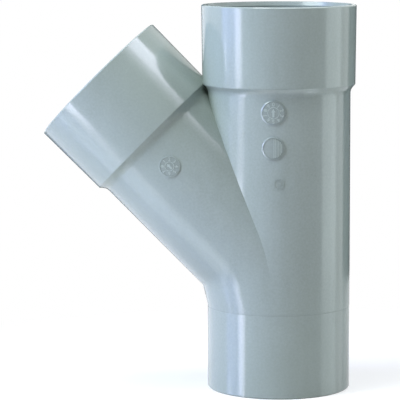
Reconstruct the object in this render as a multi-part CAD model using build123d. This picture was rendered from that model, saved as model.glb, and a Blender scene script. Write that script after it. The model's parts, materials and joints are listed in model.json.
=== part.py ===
from build123d import *
from math import cos, hypot, radians, sin
import os

# Lateral wye fitting for solvent-welded drain pipe: an equal 45 degree branch, injection moulded
# in one piece. The run stands along +Z with its spigot at the bottom and a socket at the top, and
# the branch leaves it towards -X and ends in the same socket. The origin is the centre of the
# spigot's end. All lengths are in millimetres.

# The pipe that the fitting joins, and the layout of the two axes
PIPE_DIAMETER = 110.0        # outside of the pipe, and of the fitting's own spigot
BRANCH_ANGLE = 45.0          # between the run's axis and the branch's, in degrees
CENTRE_HEIGHT = 99.0         # spigot's end to the crossing of the axes
RUN_REACH = 198.0            # crossing of the axes to the mouth of the run's socket
BRANCH_REACH = 198.6         # crossing of the axes to the mouth of the branch's socket

# Body
WALL = 3.2                   # of the body and the spigot
HEEL_RADIUS = 5.0            # of the bend in the body's outline under the branch
HEEL_LEAN = 10.0             # of the heel out of the run, from the spigot up to that bend, in degrees

# Spigot
SPIGOT_LENGTH = 64.0         # part of the run that enters the next socket
SPIGOT_CHAMFER = 1.0         # on its outer edge
WITNESS_STEP = 0.15          # by which the body stands proud of the spigot
WITNESS_RAMP = 1.2           # height over which that step rises

# Sockets
SOCKET_DEPTH = 60.0          # mouth to stop ledge
SOCKET_CLEARANCE = 0.2       # around the pipe, filled by the cement
SOCKET_WALL_ROOT = 3.7       # at the ledge
SOCKET_WALL_MOUTH = 4.4      # at the mouth, as the outside is drafted
SHOULDER_SETBACK = 0.8       # ledge to the top of the shoulder outside
SHOULDER_LENGTH = 4.4        # of the cone between the body and the socket
SHOULDER_TOP_RADIUS = 1.2
SHOULDER_FOOT_RADIUS = 7.0
MOUTH_CHAMFER = 0.8          # on the rim's outer edge
LEAD_IN_LENGTH = 3.0         # of the cone that guides the pipe in
LEAD_IN_WIDTH = 1.1

# Raised round pads on the front of the body, left by inserts in the mould
PAD_HEIGHT = 0.6             # of the ring, above the body
PAD_RING_WIDTH = 0.9
PAD_RECESS = 0.25            # ring to the field inside it
UPPER_PAD_DIAMETER = 18.8
UPPER_PAD_REACH = 119.2      # along the run, from the crossing of the axes
LOWER_PAD_DIAMETER = 17.4
LOWER_PAD_REACH = 92.6
BRANCH_PAD_DIAMETER = 16.4
BRANCH_PAD_REACH = 111.0     # along the branch

# Dimensions that follow from these
PIPE_RADIUS = PIPE_DIAMETER / 2
BODY_RADIUS = PIPE_RADIUS + WITNESS_STEP
BORE_RADIUS = PIPE_RADIUS - WALL
SOCKET_RADIUS = PIPE_RADIUS + SOCKET_CLEARANCE
SHOULDER_TOP_DROP = SOCKET_DEPTH + SHOULDER_SETBACK
SHOULDER_FOOT_DROP = SHOULDER_TOP_DROP + SHOULDER_LENGTH
SPIGOT_TOP = SPIGOT_LENGTH - CENTRE_HEIGHT
HEEL_FOOT = SPIGOT_TOP + WITNESS_RAMP
CUT_MARGIN = 1.0             # by which a cut runs past the face that it opens

# Legs are drawn along +Z with the crossing of the axes at zero, and then turned into place
BRANCH_TURN = Rot(0, -BRANCH_ANGLE, 0)
RUN_LIFT = Pos(0, 0, CENTRE_HEIGHT)


def turned(face):
    """Solid of revolution about Z of a face drawn as radius and height."""
    return revolve(Plane.XZ * face, axis=Axis.Z)


def rounded(face, corner, radius):
    """The face with the corner at these coordinates rounded."""
    vertex = face.vertices().sort_by_distance(Vector(*corner))[0]
    return fillet(vertex, radius)


def leg_outside(foot, reach):
    """Outside of a leg: the outline of its foot, then the body, the shoulder and the socket."""
    shoulder_foot = (BODY_RADIUS, reach - SHOULDER_FOOT_DROP)
    shoulder_top = (SOCKET_RADIUS + SOCKET_WALL_ROOT, reach - SHOULDER_TOP_DROP)
    mouth_radius = SOCKET_RADIUS + SOCKET_WALL_MOUTH
    mouth = [(mouth_radius, reach - MOUTH_CHAMFER), (mouth_radius - MOUTH_CHAMFER, reach), (0, reach)]
    face = make_face(Polyline(*foot, shoulder_foot, shoulder_top, *mouth, close=True))
    face = rounded(face, shoulder_foot, SHOULDER_FOOT_RADIUS)
    face = rounded(face, shoulder_top, SHOULDER_TOP_RADIUS)
    return turned(face)


def leg_bore(start, reach):
    """Passage of a leg from a height along it, with the stop ledge, the socket and its lead-in.

    It is straight, as the core of the mould has to be drawn out of it.
    """
    ledge = reach - SOCKET_DEPTH
    lead_in_radius = SOCKET_RADIUS + LEAD_IN_WIDTH
    outline = Polyline(
        (0, start),
        (BORE_RADIUS, start),
        (BORE_RADIUS, ledge),
        (SOCKET_RADIUS, ledge),
        (SOCKET_RADIUS, reach - LEAD_IN_LENGTH),
        (lead_in_radius, reach),
        (lead_in_radius, reach + CUT_MARGIN),
        (0, reach + CUT_MARGIN),
        close=True,
    )
    return turned(make_face(outline))


def heel_path():
    """Centre line of the heel: where its lean ends, the middle of its bend and the bend's end.

    It leaves the run's axis just above the spigot, leans towards the branch, and then turns about
    the middle of the bend until it lies on the branch's axis. Each point is (x, height).
    """
    lean, turn = radians(HEEL_LEAN), radians(BRANCH_ANGLE)
    radius = BODY_RADIUS + HEEL_RADIUS
    # the straight part is as long as it takes to end the bend on the branch's axis
    off_axis = radius * (1 - cos(turn - lean)) + HEEL_FOOT * sin(turn)
    length = -off_axis / sin(turn - lean)
    bend_start = (-length * sin(lean), HEEL_FOOT + length * cos(lean))
    middle = (bend_start[0] - radius * cos(lean), bend_start[1] - radius * sin(lean))
    bend_end = (middle[0] + radius * cos(turn), middle[1] + radius * sin(turn))
    return bend_start, middle, bend_end


def branch_start():
    """Reach at which the branch takes over from the heel."""
    _, _, bend_end = heel_path()
    return hypot(*bend_end)


def heel():
    """Round bar along the heel's centre line, which blends the branch into the run."""
    (start_x, start_height), (middle_x, middle_height), _ = heel_path()
    foot = Pos(0, 0, HEEL_FOOT) * Circle(BODY_RADIUS)
    bend_section = Pos(start_x, 0, start_height) * Rot(0, -HEEL_LEAN, 0) * Circle(BODY_RADIUS)
    turning_axis = Axis((middle_x, 0, middle_height), (0, -1, 0))
    bend = revolve(bend_section, axis=turning_axis, revolution_arc=BRANCH_ANGLE - HEEL_LEAN)
    return loft([foot, bend_section], ruled=True) + bend


def body_outside():
    """Run, branch and heel as one solid form."""
    spigot_end = -CENTRE_HEIGHT
    spigot = [
        (0, spigot_end),
        (PIPE_RADIUS - SPIGOT_CHAMFER, spigot_end),
        (PIPE_RADIUS, spigot_end + SPIGOT_CHAMFER),
        (PIPE_RADIUS, SPIGOT_TOP),
        (BODY_RADIUS, HEEL_FOOT),
    ]
    branch_foot = [(0, branch_start()), (BODY_RADIUS, branch_start())]
    branch = BRANCH_TURN * leg_outside(branch_foot, BRANCH_REACH)
    return leg_outside(spigot, RUN_REACH) + (heel() + branch)


def passages():
    """Everything that is open inside: the run's passage, the branch's and both sockets."""
    crossing = 0
    run = leg_bore(-CENTRE_HEIGHT - CUT_MARGIN, RUN_REACH)
    branch = leg_bore(crossing, BRANCH_REACH)
    return run + BRANCH_TURN * branch


def pad(diameter, reach):
    """Raised round pad on the front of a leg: a ring around a slightly lower field."""
    inside_wall = Plane.XZ.offset(BODY_RADIUS - WALL / 2)
    whole = extrude(inside_wall * Circle(diameter / 2), WALL)
    field = extrude(inside_wall * Circle(diameter / 2 - PAD_RING_WIDTH), WALL)
    ring_limit = Cylinder(BODY_RADIUS + PAD_HEIGHT, 2 * diameter)
    field_limit = Cylinder(BODY_RADIUS + PAD_HEIGHT - PAD_RECESS, 2 * diameter)
    return Pos(0, 0, reach) * (((whole - field) & ring_limit) + (field & field_limit))


def wye_body():
    """The finished fitting, with its spigot's end on the ground plane."""
    body = body_outside()
    body += pad(UPPER_PAD_DIAMETER, UPPER_PAD_REACH)
    body += pad(LOWER_PAD_DIAMETER, LOWER_PAD_REACH)
    body += BRANCH_TURN * pad(BRANCH_PAD_DIAMETER, BRANCH_PAD_REACH)
    body -= passages()
    return RUN_LIFT * body


os.makedirs("parts", exist_ok=True)
body = wye_body()
export_step(body, "parts/wye_body.step")
print(f"wye_body: {body.volume / 1000:.1f} cm3, box {body.bounding_box().size}")
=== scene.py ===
"""Lateral wye fitting in grey uPVC: finish of the moulding, marks on its pads and a plain studio."""

import json
import math
import random

import bmesh
import bpy
from bpy.props import FloatProperty, FloatVectorProperty, IntProperty, PointerProperty
from mathutils import Matrix, Vector


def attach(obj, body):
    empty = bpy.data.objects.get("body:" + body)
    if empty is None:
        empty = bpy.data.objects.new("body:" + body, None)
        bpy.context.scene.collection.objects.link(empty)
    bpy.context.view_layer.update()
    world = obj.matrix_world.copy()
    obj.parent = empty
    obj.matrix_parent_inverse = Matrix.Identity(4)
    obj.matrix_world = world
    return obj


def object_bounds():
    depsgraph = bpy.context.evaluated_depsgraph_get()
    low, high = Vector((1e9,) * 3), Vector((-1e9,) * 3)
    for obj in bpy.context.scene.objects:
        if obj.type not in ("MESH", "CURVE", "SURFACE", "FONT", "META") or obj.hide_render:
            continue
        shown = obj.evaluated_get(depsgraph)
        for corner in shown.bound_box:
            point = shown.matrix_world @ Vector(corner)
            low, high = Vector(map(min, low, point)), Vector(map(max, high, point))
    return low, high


bl_info = {
    "name": "Lateral wye fitting",
    "version": (1, 0, 0),
    "blender": (4, 5, 0),
    "location": "3D View > Sidebar > Wye",
    "description": "Finish, moulded marks and studio of a 45 degree drain pipe branch",
    "category": "Object",
}

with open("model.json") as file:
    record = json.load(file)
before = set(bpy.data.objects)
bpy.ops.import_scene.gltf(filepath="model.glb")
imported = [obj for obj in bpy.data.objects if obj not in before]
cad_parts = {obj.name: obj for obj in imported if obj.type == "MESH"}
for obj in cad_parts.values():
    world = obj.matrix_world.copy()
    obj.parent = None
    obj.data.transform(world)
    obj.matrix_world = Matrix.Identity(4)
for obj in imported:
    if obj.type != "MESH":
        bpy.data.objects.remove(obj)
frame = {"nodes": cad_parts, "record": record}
bpy.context.view_layer.update()
CAD_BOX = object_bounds()

MM = 0.001
BODY_NODE = "wye_body"

# Layout of the fitting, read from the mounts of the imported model
MOUNTS = {mount["name"]: mount for mount in frame["record"]["mounts"]}
PIPE_RADIUS = MOUNTS["spigot"]["dims"]["r_mm"] * MM
BRANCH_AXIS = Vector(MOUNTS["branch_socket"]["axis"])
BRANCH_SEAT = Vector(MOUNTS["branch_socket"]["pos_m"])
BRANCH_ANGLE = math.atan2(-BRANCH_AXIS.x, BRANCH_AXIS.z)
CROSSING = BRANCH_SEAT - BRANCH_AXIS * (BRANCH_SEAT.x / BRANCH_AXIS.x)

# Small steps of the moulding that the mounts don't give
SPIGOT_TOP = 64 * MM            # height of the witness line
BODY_STEP = 0.15 * MM           # from the spigot up to the body
LEAD_IN = 3 * MM                # height of the cone between a socket's bore and its mouth
PAD_RELIEF = 0.6 * MM           # of a pad's ring, above the body
PAD_RECESS = 0.25 * MM          # of the field inside the ring
UPPER_PAD_RADIUS = 9.4 * MM
UPPER_PAD_REACH = 119.2 * MM    # of the pad's middle along its leg, from the crossing of the axes
LOWER_PAD_RADIUS = 8.7 * MM
LOWER_PAD_REACH = 92.6 * MM
BRANCH_PAD_RADIUS = 8.2 * MM
BRANCH_PAD_REACH = 111.0 * MM

# Dimensions that follow from these
BODY_RADIUS = PIPE_RADIUS + BODY_STEP
FIELD_RADIUS = BODY_RADIUS + PAD_RELIEF - PAD_RECESS
RUN_MOUTH = CAD_BOX[1].z - CROSSING.z
SOCKET_LENGTH = MOUNTS["branch_socket"]["dims"]["length_mm"] * MM
BRANCH_MOUTH = (BRANCH_SEAT - CROSSING).length + SOCKET_LENGTH / 2 + LEAD_IN


# ---------------------------------------------------------------- settings

class WyeFinishSettings(bpy.types.PropertyGroup):
    """Look of the moulded plastic."""

    colour: FloatVectorProperty(
        name="Colour", description="Plain colour of the plastic", subtype="COLOR",
        size=3, min=0, max=1, default=(0.307, 0.360, 0.336),
    )
    mottle: FloatProperty(
        name="Mottle", description="Strength of the cloudy change of tone", subtype="FACTOR",
        min=0, max=1, default=0.8,
    )
    roughness: FloatProperty(
        name="Roughness", description="Roughness of the clean surface", subtype="FACTOR",
        min=0, max=1, default=0.15,
    )
    wear: FloatProperty(
        name="Wear", description="Amount of scuffs, most of them on the spigot and the rims",
        subtype="FACTOR", min=0, max=1, default=0.5,
    )


class WyeMarkSettings(bpy.types.PropertyGroup):
    """Sizes and tone of the moulded marks."""

    relief: FloatProperty(
        name="Relief", description="Height of the figures above the pad's field", subtype="DISTANCE",
        unit="LENGTH", min=0.05 * MM, max=1 * MM, default=0.24 * MM,
    )
    figure_height: FloatProperty(
        name="Figure height", description="Height of the figures on the upper dial", subtype="DISTANCE",
        unit="LENGTH", min=0.5 * MM, max=5 * MM, default=2.9 * MM,
    )
    # the marks' plastic is the body's made paler: a painted highlight on the raised marks
    mark_highlight: FloatProperty(
        name="Paleness", description="How much paler the marks are than the pads' fields round them",
        subtype="FACTOR", min=0, max=1, default=0.42,
    )
    rib_pitch: FloatProperty(
        name="Rib pitch", description="Distance between the ribs of the half ribbed pad",
        subtype="DISTANCE", unit="LENGTH", min=0.4 * MM, max=3 * MM, default=1.15 * MM,
    )
    rib_count: IntProperty(
        name="Ribs", description="Number of ribs on the half ribbed pad", min=1, max=12, default=6,
    )


class WyeStudioSettings(bpy.types.PropertyGroup):
    """Camera and light."""

    azimuth: FloatProperty(
        name="Azimuth", description="Camera's direction round the fitting, from its front",
        subtype="ANGLE", unit="ROTATION", default=math.radians(5.978),
    )
    elevation: FloatProperty(
        name="Elevation", description="Camera's height above the horizon as an angle",
        subtype="ANGLE", unit="ROTATION", default=math.radians(7.130),
    )
    roll: FloatProperty(
        name="Roll", description="Turn of the camera about its own line of sight",
        subtype="ANGLE", unit="ROTATION", default=math.radians(-0.171),
    )
    distance: FloatProperty(
        name="Distance", description="Camera to the point that it looks at", subtype="DISTANCE",
        unit="LENGTH", min=0.1, default=1.7955,
    )
    aim_drop: FloatProperty(
        name="Aim drop", description="Point that the camera looks at, below the middle of the fitting",
        subtype="DISTANCE", unit="LENGTH", default=3.22 * MM,
    )
    lens: FloatProperty(
        name="Lens", description="Focal length of the camera, in millimetres", min=10, max=500,
        default=207.94,
    )
    ambient: FloatVectorProperty(
        name="Ambient", description="Even light of the room", subtype="COLOR", size=3, min=0, max=2,
        default=(0.01, 0.01, 0.01),
    )
    floor_colour: FloatVectorProperty(
        name="Floor", description="Colour of the floor", subtype="COLOR", size=3, min=0, max=1,
        default=(0.50, 0.50, 0.49),
    )


# ---------------------------------------------------------------- shader expressions

class Value:
    """An output socket of a node. Arithmetic on it adds Math nodes to its shader."""

    def __init__(self, shader, socket):
        self.shader = shader
        self.socket = socket

    def maths(self, operation, first, second):
        return self.shader.node("ShaderNodeMath", {"operation": operation}, {0: first, 1: second})

    def __add__(self, other):
        return self.maths("ADD", self, other)

    def __sub__(self, other):
        return self.maths("SUBTRACT", self, other)

    def __rsub__(self, other):
        return self.maths("SUBTRACT", other, self)

    def __mul__(self, other):
        return self.maths("MULTIPLY", self, other)

    def __pow__(self, other):
        return self.maths("POWER", self, other)

    __radd__ = __add__
    __rmul__ = __mul__

    def larger(self, other):
        """The larger of the two."""
        return self.maths("MAXIMUM", self, other)

    def size(self):
        """The value without its sign."""
        return self.shader.node("ShaderNodeMath", {"operation": "ABSOLUTE"}, {0: self})

    def output(self, name):
        """Another output of the same node."""
        return Value(self.shader, self.socket.node.outputs[name])


class Shader:
    """Node tree of a material or a world, written as expressions."""

    def __init__(self, owner):
        owner.use_nodes = True
        self.nodes = owner.node_tree.nodes
        self.links = owner.node_tree.links
        self.nodes.clear()

    def node(self, kind, settings=None, inputs=None, output=0):
        """Adds a node: its settings first, then the values or links of its sockets."""
        node = self.nodes.new(kind)
        for name, value in (settings or {}).items():
            setattr(node, name, value)
        for name, value in (inputs or {}).items():
            if isinstance(value, Value):
                self.links.new(value.socket, node.inputs[name])
            else:
                node.inputs[name].default_value = value
        return Value(self, node.outputs[output]) if node.outputs else None

    def mix(self, factor, first, second):
        """Colour between two colours, through the Mix node's factor and its sockets for colours."""
        settings = {"data_type": "RGBA", "clamp_factor": True}
        return self.node("ShaderNodeMix", settings, {0: factor, 6: first, 7: second}, output=2)

    def stretched(self, vector, scale):
        """Vector with each of its parts multiplied."""
        settings = {"operation": "MULTIPLY"}
        return self.node("ShaderNodeVectorMath", settings, {0: vector, 1: scale})

    def along(self, vector, direction):
        """Length of a vector in a direction."""
        settings = {"operation": "DOT_PRODUCT"}
        return self.node("ShaderNodeVectorMath", settings, {0: vector, 1: direction}, output="Value")

    def noise(self, vector, feature, detail=2.0):
        """Noise from 0 to 1 with features of this size in metres."""
        inputs = {"Vector": vector, "Scale": 1 / feature, "Detail": detail}
        return self.node("ShaderNodeTexNoise", None, inputs)

    def step(self, value, low, high):
        """0 below low, 1 above high and smooth between them; falls where low is the larger one."""
        if low > high:
            return 1 - self.step(value, high, low)
        settings = {"interpolation_type": "SMOOTHSTEP"}
        return self.node("ShaderNodeMapRange", settings, {"Value": value, "From Min": low, "From Max": high})

    def line(self, distance, half_width):
        """1 on a line and 0 beyond its half width, from the distance to its middle."""
        return self.step(distance.size(), half_width, 0.0)


def opaque(colour):
    """Colour with the alpha that a socket wants."""
    return (*colour, 1.0)


def tinted(colour, gain):
    """Colour with each of its parts multiplied, up to full."""
    return tuple(min(part * share, 1.0) for part, share in zip(colour, gain))


# ---------------------------------------------------------------- plastic

# Tones, as gains on the plain colour
DEEP = (0.90, 0.91, 0.90)
PALE = (1.09, 1.08, 1.10)
GREENER = (0.97, 1.0, 0.92)
SCUFFED = (1.22, 1.20, 1.18)
# painted shade along the witness line
WITNESS_PAINTED_SHADE = (0.72, 0.74, 0.72)
# painted shade in the sunk fields of the pads
FIELD_PAINTED_SHADE = (0.62, 0.62, 0.62)

# Sizes of the patterns
DRIFT_SIZE = 130 * MM
CLOUD_SIZE = 60 * MM
POLISH_SIZE = 22 * MM
PATCH_SIZE = 14 * MM
STREAK_SIZE = 9 * MM
STREAK_SHAPE = (1.0, 1.0, 0.12)     # drawn out along the run
SCRATCH_SIZE = 5 * MM
SCRATCH_SHAPE = (1.0, 1.0, 9.0)     # drawn out round the run
PEEL_SIZE = 4.5 * MM
MOTTLE_SIZE = 1.6 * MM
GRAIN_SIZE = 0.35 * MM
RIM_BAND = 9 * MM                   # below a mouth, where the scuffs gather
SCUFFED_FOOT = 2 * MM               # height up to which the spigot has the most scuffs
WITNESS_WIDTH = 0.45 * MM           # to each side of the line
PARTING_WIDTH = 0.22 * MM
CLEAR_OF_RUN = 62 * MM              # distance from the run's axis past which a point lies on the branch
WELL_OFF_RUN = 66 * MM
FRONT_START = -45 * MM              # the front, where the pads are, lies past these places along Y
FRONT_END = -50 * MM

# Relief of the bump, in millimetres
PEEL_RELIEF = 0.010
GRAIN_RELIEF = 0.0012
PARTING_RELIEF = 0.03
WITNESS_RELIEF = 0.05
SCUFF_RELIEF = 0.006
PAD_EDGES = (                       # a pad's middle and radius, and how far its ring's edge falls
    (CROSSING + Vector((0, 0, UPPER_PAD_REACH)), UPPER_PAD_RADIUS, 0.60),
    (CROSSING + Vector((0, 0, LOWER_PAD_REACH)), LOWER_PAD_RADIUS, 0.55),
    (CROSSING + BRANCH_AXIS * BRANCH_PAD_REACH, BRANCH_PAD_RADIUS, 0.25),
)

# Where the rounded edges and the fields of the pads lie, from a pad's radius outwards
EDGE_FOOT = 0.4 * MM
EDGE_TOP = -1.4 * MM
FIELD_START = -0.8 * MM
FIELD_FULL = -1.2 * MM


def pads_on_front(shader, place, front):
    """Relief of the rounded edges of the pads' rings, and a mask that is 1 on the fields inside them."""
    rounded, fields = 0, 0
    for middle, radius, fall in PAD_EDGES:
        from_middle = shader.node("ShaderNodeVectorMath", {"operation": "SUBTRACT"}, {0: place, 1: middle})
        flat = shader.stretched(from_middle, (1.0, 0.0, 1.0))
        reach = shader.node("ShaderNodeVectorMath", {"operation": "LENGTH"}, {0: flat}, output="Value")
        off = reach - radius
        rounded = shader.step(off, EDGE_FOOT, EDGE_TOP) * front * fall + rounded
        fields = shader.step(off, FIELD_START, FIELD_FULL) * front + fields
    return rounded, fields


def upvc_material(name, settings, plain_colour):
    """Injection moulded uPVC: cloudy tone, streaks, soft gloss, mould lines and light scuffs."""
    material = bpy.data.materials.new(name)
    shader = Shader(material)
    place = shader.node("ShaderNodeTexCoord", output="Object")
    split = shader.node("ShaderNodeSeparateXYZ", None, {0: place})
    x, y, z = (split.output(axis) for axis in "XYZ")

    # where a point lies: its reach along each leg from the crossing, and whether it is on the branch
    from_crossing = shader.node("ShaderNodeVectorMath", {"operation": "SUBTRACT"}, {0: place, 1: CROSSING})
    branch_reach = shader.along(from_crossing, BRANCH_AXIS)
    run_reach = z - CROSSING.z
    off_run = (x * x + y * y) ** 0.5
    on_branch = shader.step(off_run, CLEAR_OF_RUN, WELL_OFF_RUN)

    # tone: broad clouds, streaks along the run, a fine mottle and a slow drift towards green
    clouds = shader.noise(place, CLOUD_SIZE, 3.0)
    streaks = shader.noise(shader.stretched(place, STREAK_SHAPE), STREAK_SIZE, 3.0)
    mottle = shader.noise(place, MOTTLE_SIZE, 2.0)
    tone = (clouds - 0.5) * 0.9 + (streaks - 0.5) * 0.5 + (mottle - 0.5) * 0.9
    deep = opaque(tinted(plain_colour, DEEP))
    pale = opaque(tinted(plain_colour, PALE))
    colour = shader.mix(tone * settings.mottle * 1.5 + 0.5, deep, pale)
    drift = shader.step(shader.noise(place, DRIFT_SIZE, 1.0), 0.35, 0.7)
    colour = shader.mix(drift * 0.35, colour, opaque(tinted(plain_colour, GREENER)))

    # scuffs: most of them round the spigot and at both rims, a few anywhere
    run_rim = shader.step(run_reach, RUN_MOUTH - RIM_BAND, RUN_MOUTH)
    branch_rim = shader.step(branch_reach, BRANCH_MOUTH - RIM_BAND, BRANCH_MOUTH) * on_branch
    spigot = shader.step(z, SPIGOT_TOP, SCUFFED_FOOT)
    ends = run_rim.larger(branch_rim).larger(spigot * 0.7)
    patches = shader.step(shader.noise(place, PATCH_SIZE, 2.0), 0.52, 0.66)
    drawn_out = shader.stretched(place, SCRATCH_SHAPE)
    scratches = shader.step(shader.noise(drawn_out, SCRATCH_SIZE, 4.0), 0.60, 0.70)
    scuffs = scratches * patches * (ends * 0.9 + 0.1) * settings.wear
    colour = shader.mix(scuffs * 0.5, colour, opaque(tinted(plain_colour, SCUFFED)))

    # mould lines: the witness line round the spigot and the parting line in the plane of the legs
    witness = shader.line(z - SPIGOT_TOP, WITNESS_WIDTH)
    parting = shader.line(y, PARTING_WIDTH) * (1 - witness)
    # the witness line is darkened in the colour as well: painted shade along its step
    colour = shader.mix(witness * 0.3, colour, opaque(tinted(plain_colour, WITNESS_PAINTED_SHADE)))

    # painted shade: the pads' fields, sunk inside their rings, are made a little darker than the body, so
    # that the marks on them, painted paler as a highlight, can be read
    front = shader.step(y, FRONT_START, FRONT_END)
    rounded, fields = pads_on_front(shader, place, front)
    colour = shader.mix(fields * 0.25, colour, opaque(tinted(plain_colour, FIELD_PAINTED_SHADE)))

    # relief: orange peel, fine grain, the mould lines, the scuffs and the pads' rounded edges
    peel = shader.noise(place, PEEL_SIZE, 2.0) * PEEL_RELIEF
    grain = shader.noise(place, GRAIN_SIZE, 2.0) * GRAIN_RELIEF
    lines = parting * PARTING_RELIEF - witness * WITNESS_RELIEF
    relief = peel + grain + lines - scuffs * SCUFF_RELIEF + rounded
    bump = shader.node("ShaderNodeBump", None, {"Strength": 1.0, "Distance": MM, "Height": relief})

    polish = shader.noise(place, POLISH_SIZE, 3.0)
    uneven = (polish - 0.5) * 0.10 + scuffs * 0.30 + (mottle - 0.5) * 0.04
    surface = shader.node("ShaderNodeBsdfPrincipled", None, {
        "Base Color": colour,
        "Roughness": uneven + settings.roughness,
        "Normal": bump,
        "IOR": 1.53,
    })
    shader.node("ShaderNodeOutputMaterial", None, {"Surface": surface})
    return material


class WYE_OT_body_finish(bpy.types.Operator):
    """Gives the moulded body its plastic, and makes a paler copy of it for the marks, a painted highlight on
    them
    """

    bl_idname = "wye.body_finish"
    bl_label = "Finish of the body"

    def execute(self, context):
        body = frame["nodes"].get(BODY_NODE)
        if body is None:
            raise RuntimeError(f"the packed model has no node {BODY_NODE}")
        finish = context.scene.wye_finish
        # paler copy of the plastic for the marks: painted highlight
        paler = tinted(finish.colour, (1 + context.scene.wye_marks.mark_highlight,) * 3)
        body.data.materials.clear()
        body.data.materials.append(upvc_material("grey_upvc", finish, finish.colour))
        upvc_material("painted_highlight_upvc", finish, paler)
        return {"FINISHED"}


def finished(name):
    """One of the plastics that the finish of the body makes."""
    material = bpy.data.materials.get(name)
    if material is None:
        raise RuntimeError(f"the finish of the body hasn't made {name} yet")
    return material


# ---------------------------------------------------------------- marks on the pads

SUNK = 0.1 * MM                 # depth of the marks' feet below the surface that they stand on
WELD_DISTANCE = 0.001 * MM
CAPITAL_HEIGHT = 0.7            # of the figures, as a share of the type size
STROKE_GAIN = 0.035             # widening of their strokes, as a share of their height
POINTER_HEAD = 0.42             # length of a pointer's head, as a share of the whole
POINTER_STEM = 0.22             # half the width of its stem, as a share of the head's width
BRANCH_FIGURES = 0.87           # height of the branch's figures, as a share of the upper dial's
RIBBED_RADIUS = 7.3 * MM        # of the part of the lower pad that the ribs reach
FIRST_RIB = 0.35                # from the middle of the pad to its first rib, as a share of the pitch
GATE_REACH = 65.8 * MM          # of the gate mark along the run, from the crossing of the axes
GATE_SHIFT = 4.3 * MM           # to the right of the run's middle
GATE_RELIEF = 1.6               # height of the gate mark, as a share of the other marks' relief
GATE_CORNERS = 14
GATE_RADIUS = 1.2 * MM          # of the stub, at its narrowest
GATE_UNEVENNESS = 0.7 * MM      # by which a corner of the stub reaches past that, at the most
GATE_SEED = 7


class Relief:
    """Raised shapes drawn flat, in right, up and out, and then wrapped round a leg of the fitting."""

    def __init__(self, height):
        self.mesh = bmesh.new()
        self.height = height
        self.root = -SUNK

    def prism(self, outline):
        """Upright prism on a closed outline that runs anticlockwise."""
        foot = [self.mesh.verts.new((*point, self.root)) for point in outline]
        top = [self.mesh.verts.new((*point, self.height)) for point in outline]
        self.mesh.faces.new(reversed(foot))
        self.mesh.faces.new(top)
        for low, high, low_next, high_next in zip(foot, top, foot[1:] + foot[:1], top[1:] + top[:1]):
            self.mesh.faces.new((low, low_next, high_next, high))

    def bar(self, left, right, bottom, top):
        """Upright prism on a rectangle."""
        self.prism([(left, bottom), (right, bottom), (right, top), (left, top)])

    def ring(self, radius, width, segments=48):
        """Flat ring round the middle of the pad."""
        turns = [2 * math.pi * step / segments for step in range(segments)]
        outer = radius + width
        section = ((self.root, radius), (self.root, outer), (self.height, outer), (self.height, radius))
        rims = []
        for out, reach in section:
            points = [(reach * math.cos(turn), reach * math.sin(turn), out) for turn in turns]
            rims.append([self.mesh.verts.new(point) for point in points])
        for rim, next_rim in zip(rims, rims[1:] + rims[:1]):
            for step in range(segments):
                after = (step + 1) % segments
                self.mesh.faces.new((rim[step], rim[after], next_rim[after], next_rim[step]))

    def figure(self, text, size, middle, turn):
        """A number, centred on a point and turned about it."""
        curve = bpy.data.curves.new("figure", "FONT")
        curve.body = text
        curve.size = size / CAPITAL_HEIGHT
        curve.align_x = "CENTER"
        curve.resolution_u = 3
        curve.extrude = (self.height - self.root) / 2
        curve.offset = STROKE_GAIN * size
        holder = bpy.data.objects.new("figure", curve)
        bpy.context.scene.collection.objects.link(holder)
        evaluated = holder.evaluated_get(bpy.context.evaluated_depsgraph_get())
        drawn = bpy.data.meshes.new_from_object(evaluated)
        bpy.data.objects.remove(holder)
        bpy.data.curves.remove(curve)
        drawn.transform(Matrix.Translation((0, -size / 2, (self.height + self.root) / 2)))
        drawn.transform(Matrix.Translation((*middle, 0)) @ Matrix.Rotation(turn, 4, "Z"))
        self.mesh.from_mesh(drawn)
        bpy.data.meshes.remove(drawn)

    def arrow(self, length, width):
        """Pointer through the middle of a dial."""
        stem = width * POINTER_STEM
        foot, tip = -length / 2, length / 2
        neck = tip - length * POINTER_HEAD
        left_of_tip = [(-width / 2, neck), (-stem, neck)]
        self.prism([(-stem, foot), (stem, foot), (stem, neck), (width / 2, neck), (0, tip), *left_of_tip])

    def wrap(self, name, reach, leg_turn=0.0, ground=FIELD_RADIUS, material="painted_highlight_upvc"):
        """Bends the drawing round a leg, at the radius of the ground, and makes it a piece."""
        for vertex in self.mesh.verts:
            right, up, out = vertex.co
            angle = right / ground
            radius = ground + out
            vertex.co = (radius * math.sin(angle), -radius * math.cos(angle), reach + up)
        bmesh.ops.remove_doubles(self.mesh, verts=self.mesh.verts, dist=WELD_DISTANCE)
        bmesh.ops.recalc_face_normals(self.mesh, faces=self.mesh.faces)
        self.mesh.transform(Matrix.Translation(CROSSING) @ Matrix.Rotation(-leg_turn, 4, "Y"))
        data = bpy.data.meshes.new(name)
        self.mesh.to_mesh(data)
        self.mesh.free()
        data.materials.append(finished(material))
        piece = bpy.data.objects.new(name, data)
        bpy.context.scene.collection.objects.link(piece)
        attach(piece, "root")


def dial(relief, count, first, radius, size):
    """Figures round a pointer, as on the date dial of a mould."""
    for place in range(count):
        turn = -2 * math.pi * place / count
        middle = (-radius * math.sin(turn), radius * math.cos(turn))
        relief.figure(str(first + place), size, middle, turn)


class WYE_OT_upper_dial(bpy.types.Operator):
    """Puts a dial with ten figures on the upper pad of the run"""

    bl_idname = "wye.upper_dial"
    bl_label = "Upper dial"

    def execute(self, context):
        marks = context.scene.wye_marks
        relief = Relief(marks.relief)
        dial(relief, count=10, first=0, radius=6.5 * MM, size=marks.figure_height)
        relief.ring(radius=4.0 * MM, width=0.5 * MM)
        relief.arrow(length=6.4 * MM, width=3.6 * MM)
        relief.wrap("upper_dial", UPPER_PAD_REACH)
        return {"FINISHED"}


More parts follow.
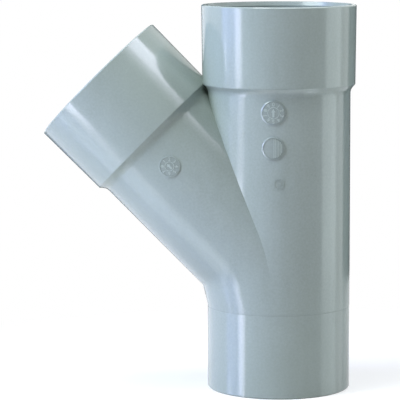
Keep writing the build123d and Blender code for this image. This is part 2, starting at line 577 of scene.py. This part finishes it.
class WYE_OT_ribbed_pad(bpy.types.Operator):
    """Puts ribs on the right half of the lower pad"""

    bl_idname = "wye.ribbed_pad"
    bl_label = "Ribbed pad"

    def execute(self, context):
        marks = context.scene.wye_marks
        relief = Relief(marks.relief)
        for rib in range(marks.rib_count):
            middle = marks.rib_pitch * (rib + FIRST_RIB)
            left, right = middle - marks.rib_pitch / 4, middle + marks.rib_pitch / 4
            half_length = math.sqrt(max(RIBBED_RADIUS ** 2 - right ** 2, 0.0))
            relief.bar(left, right, -half_length, half_length)
        relief.wrap("pad_ribs", LOWER_PAD_REACH)
        return {"FINISHED"}


class WYE_OT_branch_dial(bpy.types.Operator):
    """Puts a dial with eight figures on the pad of the branch"""

    bl_idname = "wye.branch_dial"
    bl_label = "Branch dial"

    def execute(self, context):
        marks = context.scene.wye_marks
        relief = Relief(marks.relief)
        dial(relief, count=8, first=1, radius=5.5 * MM, size=marks.figure_height * BRANCH_FIGURES)
        relief.ring(radius=3.2 * MM, width=0.45 * MM)
        relief.arrow(length=5.0 * MM, width=3.0 * MM)
        relief.wrap("branch_dial", BRANCH_PAD_REACH, BRANCH_ANGLE)
        return {"FINISHED"}


class WYE_OT_gate_mark(bpy.types.Operator):
    """Puts the cut off stub of the gate, inside its round mark, on the front of the run"""

    bl_idname = "wye.gate_mark"
    bl_label = "Gate mark"

    def execute(self, context):
        relief = Relief(context.scene.wye_marks.relief * GATE_RELIEF)
        chance = random.Random(GATE_SEED)
        stub = []
        for corner in range(GATE_CORNERS):
            turn = 2 * math.pi * corner / GATE_CORNERS
            reach = GATE_RADIUS + GATE_UNEVENNESS * chance.random()
            stub.append((reach * math.cos(turn), reach * math.sin(turn)))
        relief.prism(stub)
        relief.ring(radius=3.4 * MM, width=0.5 * MM)
        for vertex in relief.mesh.verts:
            vertex.co.x += GATE_SHIFT
        relief.wrap("gate_mark", GATE_REACH, ground=BODY_RADIUS, material="grey_upvc")
        return {"FINISHED"}


# ---------------------------------------------------------------- studio

WHITE = (1.0, 1.0, 1.0)
DAYLIGHT = (0.90, 0.94, 1.0)
SKYLIGHT = (0.25, 0.35, 1.0)
PALE_CYAN = (0.86, 0.98, 1.0)
LAVENDER = (0.82, 0.84, 1.0)

FLOOR_RADIUS = 14.0
FLOOR_GLOW = 0.52
WHITE_START = 0.12              # distance from the run's axis at which the seen floor starts to lift to white
WHITE_FULL = 0.36

# Lamps that face the middle of the fitting
# name, azimuth, distance, height above the floor, width, length, glow, colour
WINDOWS = (
    ("key_window", -60, 1.30, 1.40, 0.98, 1.05, 6.7, PALE_CYAN),
    ("side_window", -88, 1.40, 1.20, 0.80, 0.80, 1.0, SKYLIGHT),
    ("top_left", -50, 0.60, 2.05, 0.90, 0.75, 5.0, WHITE),
    ("top_right", 50, 0.75, 1.90, 0.90, 0.75, 0.3, WHITE),
    ("top_back", 135, 0.35, 1.50, 1.00, 1.00, 2.4, DAYLIGHT),
)

# Upright lamps that face the run's axis
# name, azimuth, distance, width, foot, top, glow, colour
PANELS = (
    ("left_window", -71, 1.40, 0.80, 0.15, 1.10, 3.3, SKYLIGHT),
    ("left_strip_top", -54.5, 0.47, 0.085, 0.20, 0.33, 5.6, LAVENDER),
    ("left_strip_middle", -54.5, 0.47, 0.085, 0.11, 0.20, 1.9, LAVENDER),
    ("left_strip_foot", -54.5, 0.47, 0.085, 0.0, 0.11, 8.6, LAVENDER),
    ("left_slit", -78, 0.45, 0.02, 0.08, 0.235, 9.2, DAYLIGHT),
    ("right_panel", 90, 0.60, 0.32, 0.0, 0.60, 1.40, PALE_CYAN),
)

# Lamps high on the right, mirrored in the crest of the branch's socket
# name, distance along Y from the crest, width, glow
CREST = Vector((-0.125, -0.035, 0.262))
UPPER_WINDOWS = (
    ("upper_window", 0.0, 0.62, 7.0),
    ("upper_window_edge", -0.40, 0.18, 2.8),
    ("upper_window_fringe", -0.60, 0.22, 1.0),
)
UPPER_WINDOW_OUT = 1.0          # from the crest along X
UPPER_WINDOW_UP = 1.03
UPPER_WINDOW_LENGTH = 0.36

# Dark cards behind the fitting: name, azimuth, distance, width, top
FLAGS = (
    ("right_flag", 150, 0.55, 0.50, 0.38),
    ("back_flag", -166, 0.60, 0.32, 0.60),
)
MAT_X = (-1.1, -0.05)           # dark card on the floor, behind and to the left
MAT_Y = (0.36, 1.5)
MAT_HEIGHT = 0.002


def around(azimuth, distance, height):
    """Place round the run's axis. The azimuth counts from the front, in degrees."""
    turn = math.radians(azimuth)
    return Vector((math.sin(turn) * distance, -math.cos(turn) * distance, height))


def add_lamp(name, place, aim, width, length, glow, colour):
    """Flat lamp. Its glow is how bright it looks, where 1 is white."""
    lamp = bpy.data.lights.new(name, "AREA")
    lamp.shape = "RECTANGLE"
    lamp.size = width
    lamp.size_y = length
    lamp.energy = glow * 4 * width * length
    lamp.color = colour
    holder = bpy.data.objects.new(name, lamp)
    holder.location = place
    holder.rotation_mode = "QUATERNION"
    holder.rotation_quaternion = (place - aim).to_track_quat("Z", "Y")
    holder.visible_camera = False
    bpy.context.scene.collection.objects.link(holder)


def add_lamps():
    """All the lamps of the studio."""
    middle = (CAD_BOX[0] + CAD_BOX[1]) / 2
    for name, azimuth, distance, height, width, length, glow, colour in WINDOWS:
        add_lamp(name, around(azimuth, distance, height), middle, width, length, glow, colour)
    for name, azimuth, distance, width, foot, top, glow, colour in PANELS:
        height = (foot + top) / 2
        axis = Vector((0, 0, height))
        add_lamp(name, around(azimuth, distance, height), axis, width, top - foot, glow, colour)
    for name, along, width, glow in UPPER_WINDOWS:
        place = CREST + Vector((UPPER_WINDOW_OUT, along, UPPER_WINDOW_UP))
        add_lamp(name, place, CREST, width, UPPER_WINDOW_LENGTH, glow, LAVENDER)


def dark_card_material():
    """Nearly black card, which the flags and the mat share."""
    material = bpy.data.materials.get("dark_card")
    if material is None:
        material = bpy.data.materials.new("dark_card")
        shader = Shader(material)
        place = shader.node("ShaderNodeTexCoord", output="Object")
        black = opaque((0.015, 0.016, 0.015))
        charcoal = opaque((0.03, 0.031, 0.03))
        colour = shader.mix(shader.noise(place, 50 * MM), black, charcoal)
        card = shader.node("ShaderNodeBsdfPrincipled", None, {"Base Color": colour, "Roughness": 0.9})
        shader.node("ShaderNodeOutputMaterial", None, {"Surface": card})
    return material


def add_card(name, corners):
    """Dark card that the camera doesn't see, but the gloss of the plastic does."""
    data = bpy.data.meshes.new(name)
    data.from_pydata(corners, [], [(0, 1, 2, 3)])
    data.materials.append(dark_card_material())
    card = bpy.data.objects.new(name, data)
    card.visible_camera = False
    bpy.context.scene.collection.objects.link(card)


def add_flag(name, azimuth, distance, width, top):
    """Upright card behind the fitting, which keeps the edges on its side dark."""
    middle = around(azimuth, distance, 0)
    side = around(azimuth + 90, width / 2, 0)
    feet = [middle - side, middle + side]
    add_card(name, [*feet, *(corner + Vector((0, 0, top)) for corner in reversed(feet))])


def background_rays(shader):
    """1 for the rays that show the white background: seen, mirrored or seen through."""
    path = shader.node("ShaderNodeLightPath", output="Is Camera Ray")
    seen = path.larger(path.output("Is Glossy Ray"))
    return seen.larger(path.output("Is Transmission Ray"))


def light_room(settings):
    """Even light all round, behind a white background."""
    world = bpy.data.worlds.new("studio")
    bpy.context.scene.world = world
    shader = Shader(world)
    room = shader.node("ShaderNodeBackground", None, {"Color": opaque(settings.ambient), "Strength": 1.0})
    white = shader.node("ShaderNodeBackground", None, {"Color": opaque(WHITE), "Strength": 1.0})
    mixed = shader.node("ShaderNodeMixShader", None, {0: background_rays(shader), 1: room, 2: white})
    shader.node("ShaderNodeOutputWorld", None, {"Surface": mixed})


def floor_material(settings):
    """Pale polished sheet. Where it is seen it lifts to white, and keeps the fitting's shadow close by."""
    material = bpy.data.materials.new("pale_floor")
    shader = Shader(material)
    place = shader.node("ShaderNodeTexCoord", output="Object")
    clouds = shader.noise(place, 0.4, 2.0)
    paler = tinted(settings.floor_colour, (1.04, 1.04, 1.04))
    colour = shader.mix(clouds, opaque(settings.floor_colour), opaque(paler))
    polished = shader.node("ShaderNodeBsdfPrincipled", None, {
        "Base Color": colour,
        "Roughness": 0.15,
        "Coat Weight": 1.0,
        "Coat Roughness": 0.08,
        "Coat IOR": 1.9,
    })
    matte = shader.node("ShaderNodeBsdfPrincipled", None, {
        "Base Color": colour,
        "Roughness": 1.0,
        "Specular IOR Level": 0.0,
    })
    glow = shader.node("ShaderNodeEmission", None, {"Color": opaque(WHITE), "Strength": FLOOR_GLOW})
    near = shader.node("ShaderNodeAddShader", None, {0: matte, 1: glow})
    white = shader.node("ShaderNodeEmission", None, {"Color": opaque(WHITE), "Strength": 1.0})
    across = shader.node("ShaderNodeVectorMath", {"operation": "LENGTH"}, {0: place}, output="Value")
    far = shader.step(across, WHITE_START, WHITE_FULL)
    backdrop = shader.node("ShaderNodeMixShader", None, {0: far, 1: near, 2: white})
    mirrored = shader.node("ShaderNodeAddShader", None, {0: polished, 1: glow})
    path = shader.node("ShaderNodeLightPath", output="Is Camera Ray")
    reflected = path.output("Is Glossy Ray").larger(path.output("Is Transmission Ray"))
    lit = shader.node("ShaderNodeMixShader", None, {0: reflected, 1: polished, 2: mirrored})
    seen = shader.node("ShaderNodeMixShader", None, {0: path, 1: lit, 2: backdrop})
    shader.node("ShaderNodeOutputMaterial", None, {"Surface": seen})
    return material


def add_floor(settings):
    """Round floor that reaches past the view on every side."""
    mesh = bmesh.new()
    bmesh.ops.create_circle(mesh, cap_ends=True, segments=96, radius=FLOOR_RADIUS)
    data = bpy.data.meshes.new("floor")
    mesh.to_mesh(data)
    mesh.free()
    data.materials.append(floor_material(settings))
    floor = bpy.data.objects.new("floor", data)
    bpy.context.scene.collection.objects.link(floor)


def add_camera(settings):
    """Camera on the front, aimed a little below the middle of the fitting."""
    camera = bpy.data.objects.new("camera", bpy.data.cameras.new("camera"))
    bpy.context.scene.collection.objects.link(camera)
    camera.data.lens = settings.lens
    camera.data.clip_start = 0.05
    camera.data.clip_end = 100.0
    aim = (CAD_BOX[0] + CAD_BOX[1]) / 2 - Vector((0, 0, settings.aim_drop))
    back = Vector((
        math.sin(settings.azimuth) * math.cos(settings.elevation),
        -math.cos(settings.azimuth) * math.cos(settings.elevation),
        math.sin(settings.elevation),
    ))
    camera.location = aim + back * settings.distance
    level = back.to_track_quat("Z", "Y").to_matrix()
    camera.rotation_euler = (level @ Matrix.Rotation(settings.roll, 3, "Z")).to_euler()
    bpy.context.scene.camera = camera


class WYE_OT_stage(bpy.types.Operator):
    """Sets up the floor, the soft light and the camera"""

    bl_idname = "wye.stage"
    bl_label = "Stage"

    def execute(self, context):
        studio = context.scene.wye_studio
        context.scene.view_settings.view_transform = "Standard"
        light_room(studio)
        add_floor(studio)
        for flag in FLAGS:
            add_flag(*flag)
        left, right = MAT_X
        near, far = MAT_Y
        corners = ((left, near), (right, near), (right, far), (left, far))
        add_card("mat", [(x, y, MAT_HEIGHT) for x, y in corners])
        add_lamps()
        add_camera(studio)
        return {"FINISHED"}


class WYE_PT_panel(bpy.types.Panel):
    """Pieces of the fitting and their settings."""

    bl_idname = "WYE_PT_panel"
    bl_label = "Lateral wye fitting"
    bl_space_type = "VIEW_3D"
    bl_region_type = "UI"
    bl_category = "Wye"

    def draw(self, context):
        scene = context.scene
        for settings, operators in (
            (scene.wye_finish, ("wye.body_finish",)),
            (scene.wye_marks, ("wye.upper_dial", "wye.ribbed_pad", "wye.branch_dial", "wye.gate_mark")),
            (scene.wye_studio, ("wye.stage",)),
        ):
            box = self.layout.box()
            for name in settings.bl_rna.properties.keys():
                if name not in ("rna_type", "name"):
                    box.prop(settings, name)
            for operator in operators:
                box.operator(operator)


CLASSES = (
    WyeFinishSettings,
    WyeMarkSettings,
    WyeStudioSettings,
    WYE_OT_body_finish,
    WYE_OT_upper_dial,
    WYE_OT_ribbed_pad,
    WYE_OT_branch_dial,
    WYE_OT_gate_mark,
    WYE_OT_stage,
    WYE_PT_panel,
)


def register():
    for cls in CLASSES:
        bpy.utils.register_class(cls)
    bpy.types.Scene.wye_finish = PointerProperty(type=WyeFinishSettings)
    bpy.types.Scene.wye_marks = PointerProperty(type=WyeMarkSettings)
    bpy.types.Scene.wye_studio = PointerProperty(type=WyeStudioSettings)


def unregister():
    del bpy.types.Scene.wye_studio
    del bpy.types.Scene.wye_marks
    del bpy.types.Scene.wye_finish
    for cls in reversed(CLASSES):
        bpy.utils.unregister_class(cls)


def main():
    register()
    bpy.ops.wye.body_finish()
    bpy.ops.wye.upper_dial()
    bpy.ops.wye.ribbed_pad()
    bpy.ops.wye.branch_dial()
    bpy.ops.wye.gate_mark()
    bpy.ops.wye.stage()
    bpy.context.view_layer.update()


if __name__ == "__main__":
    main()
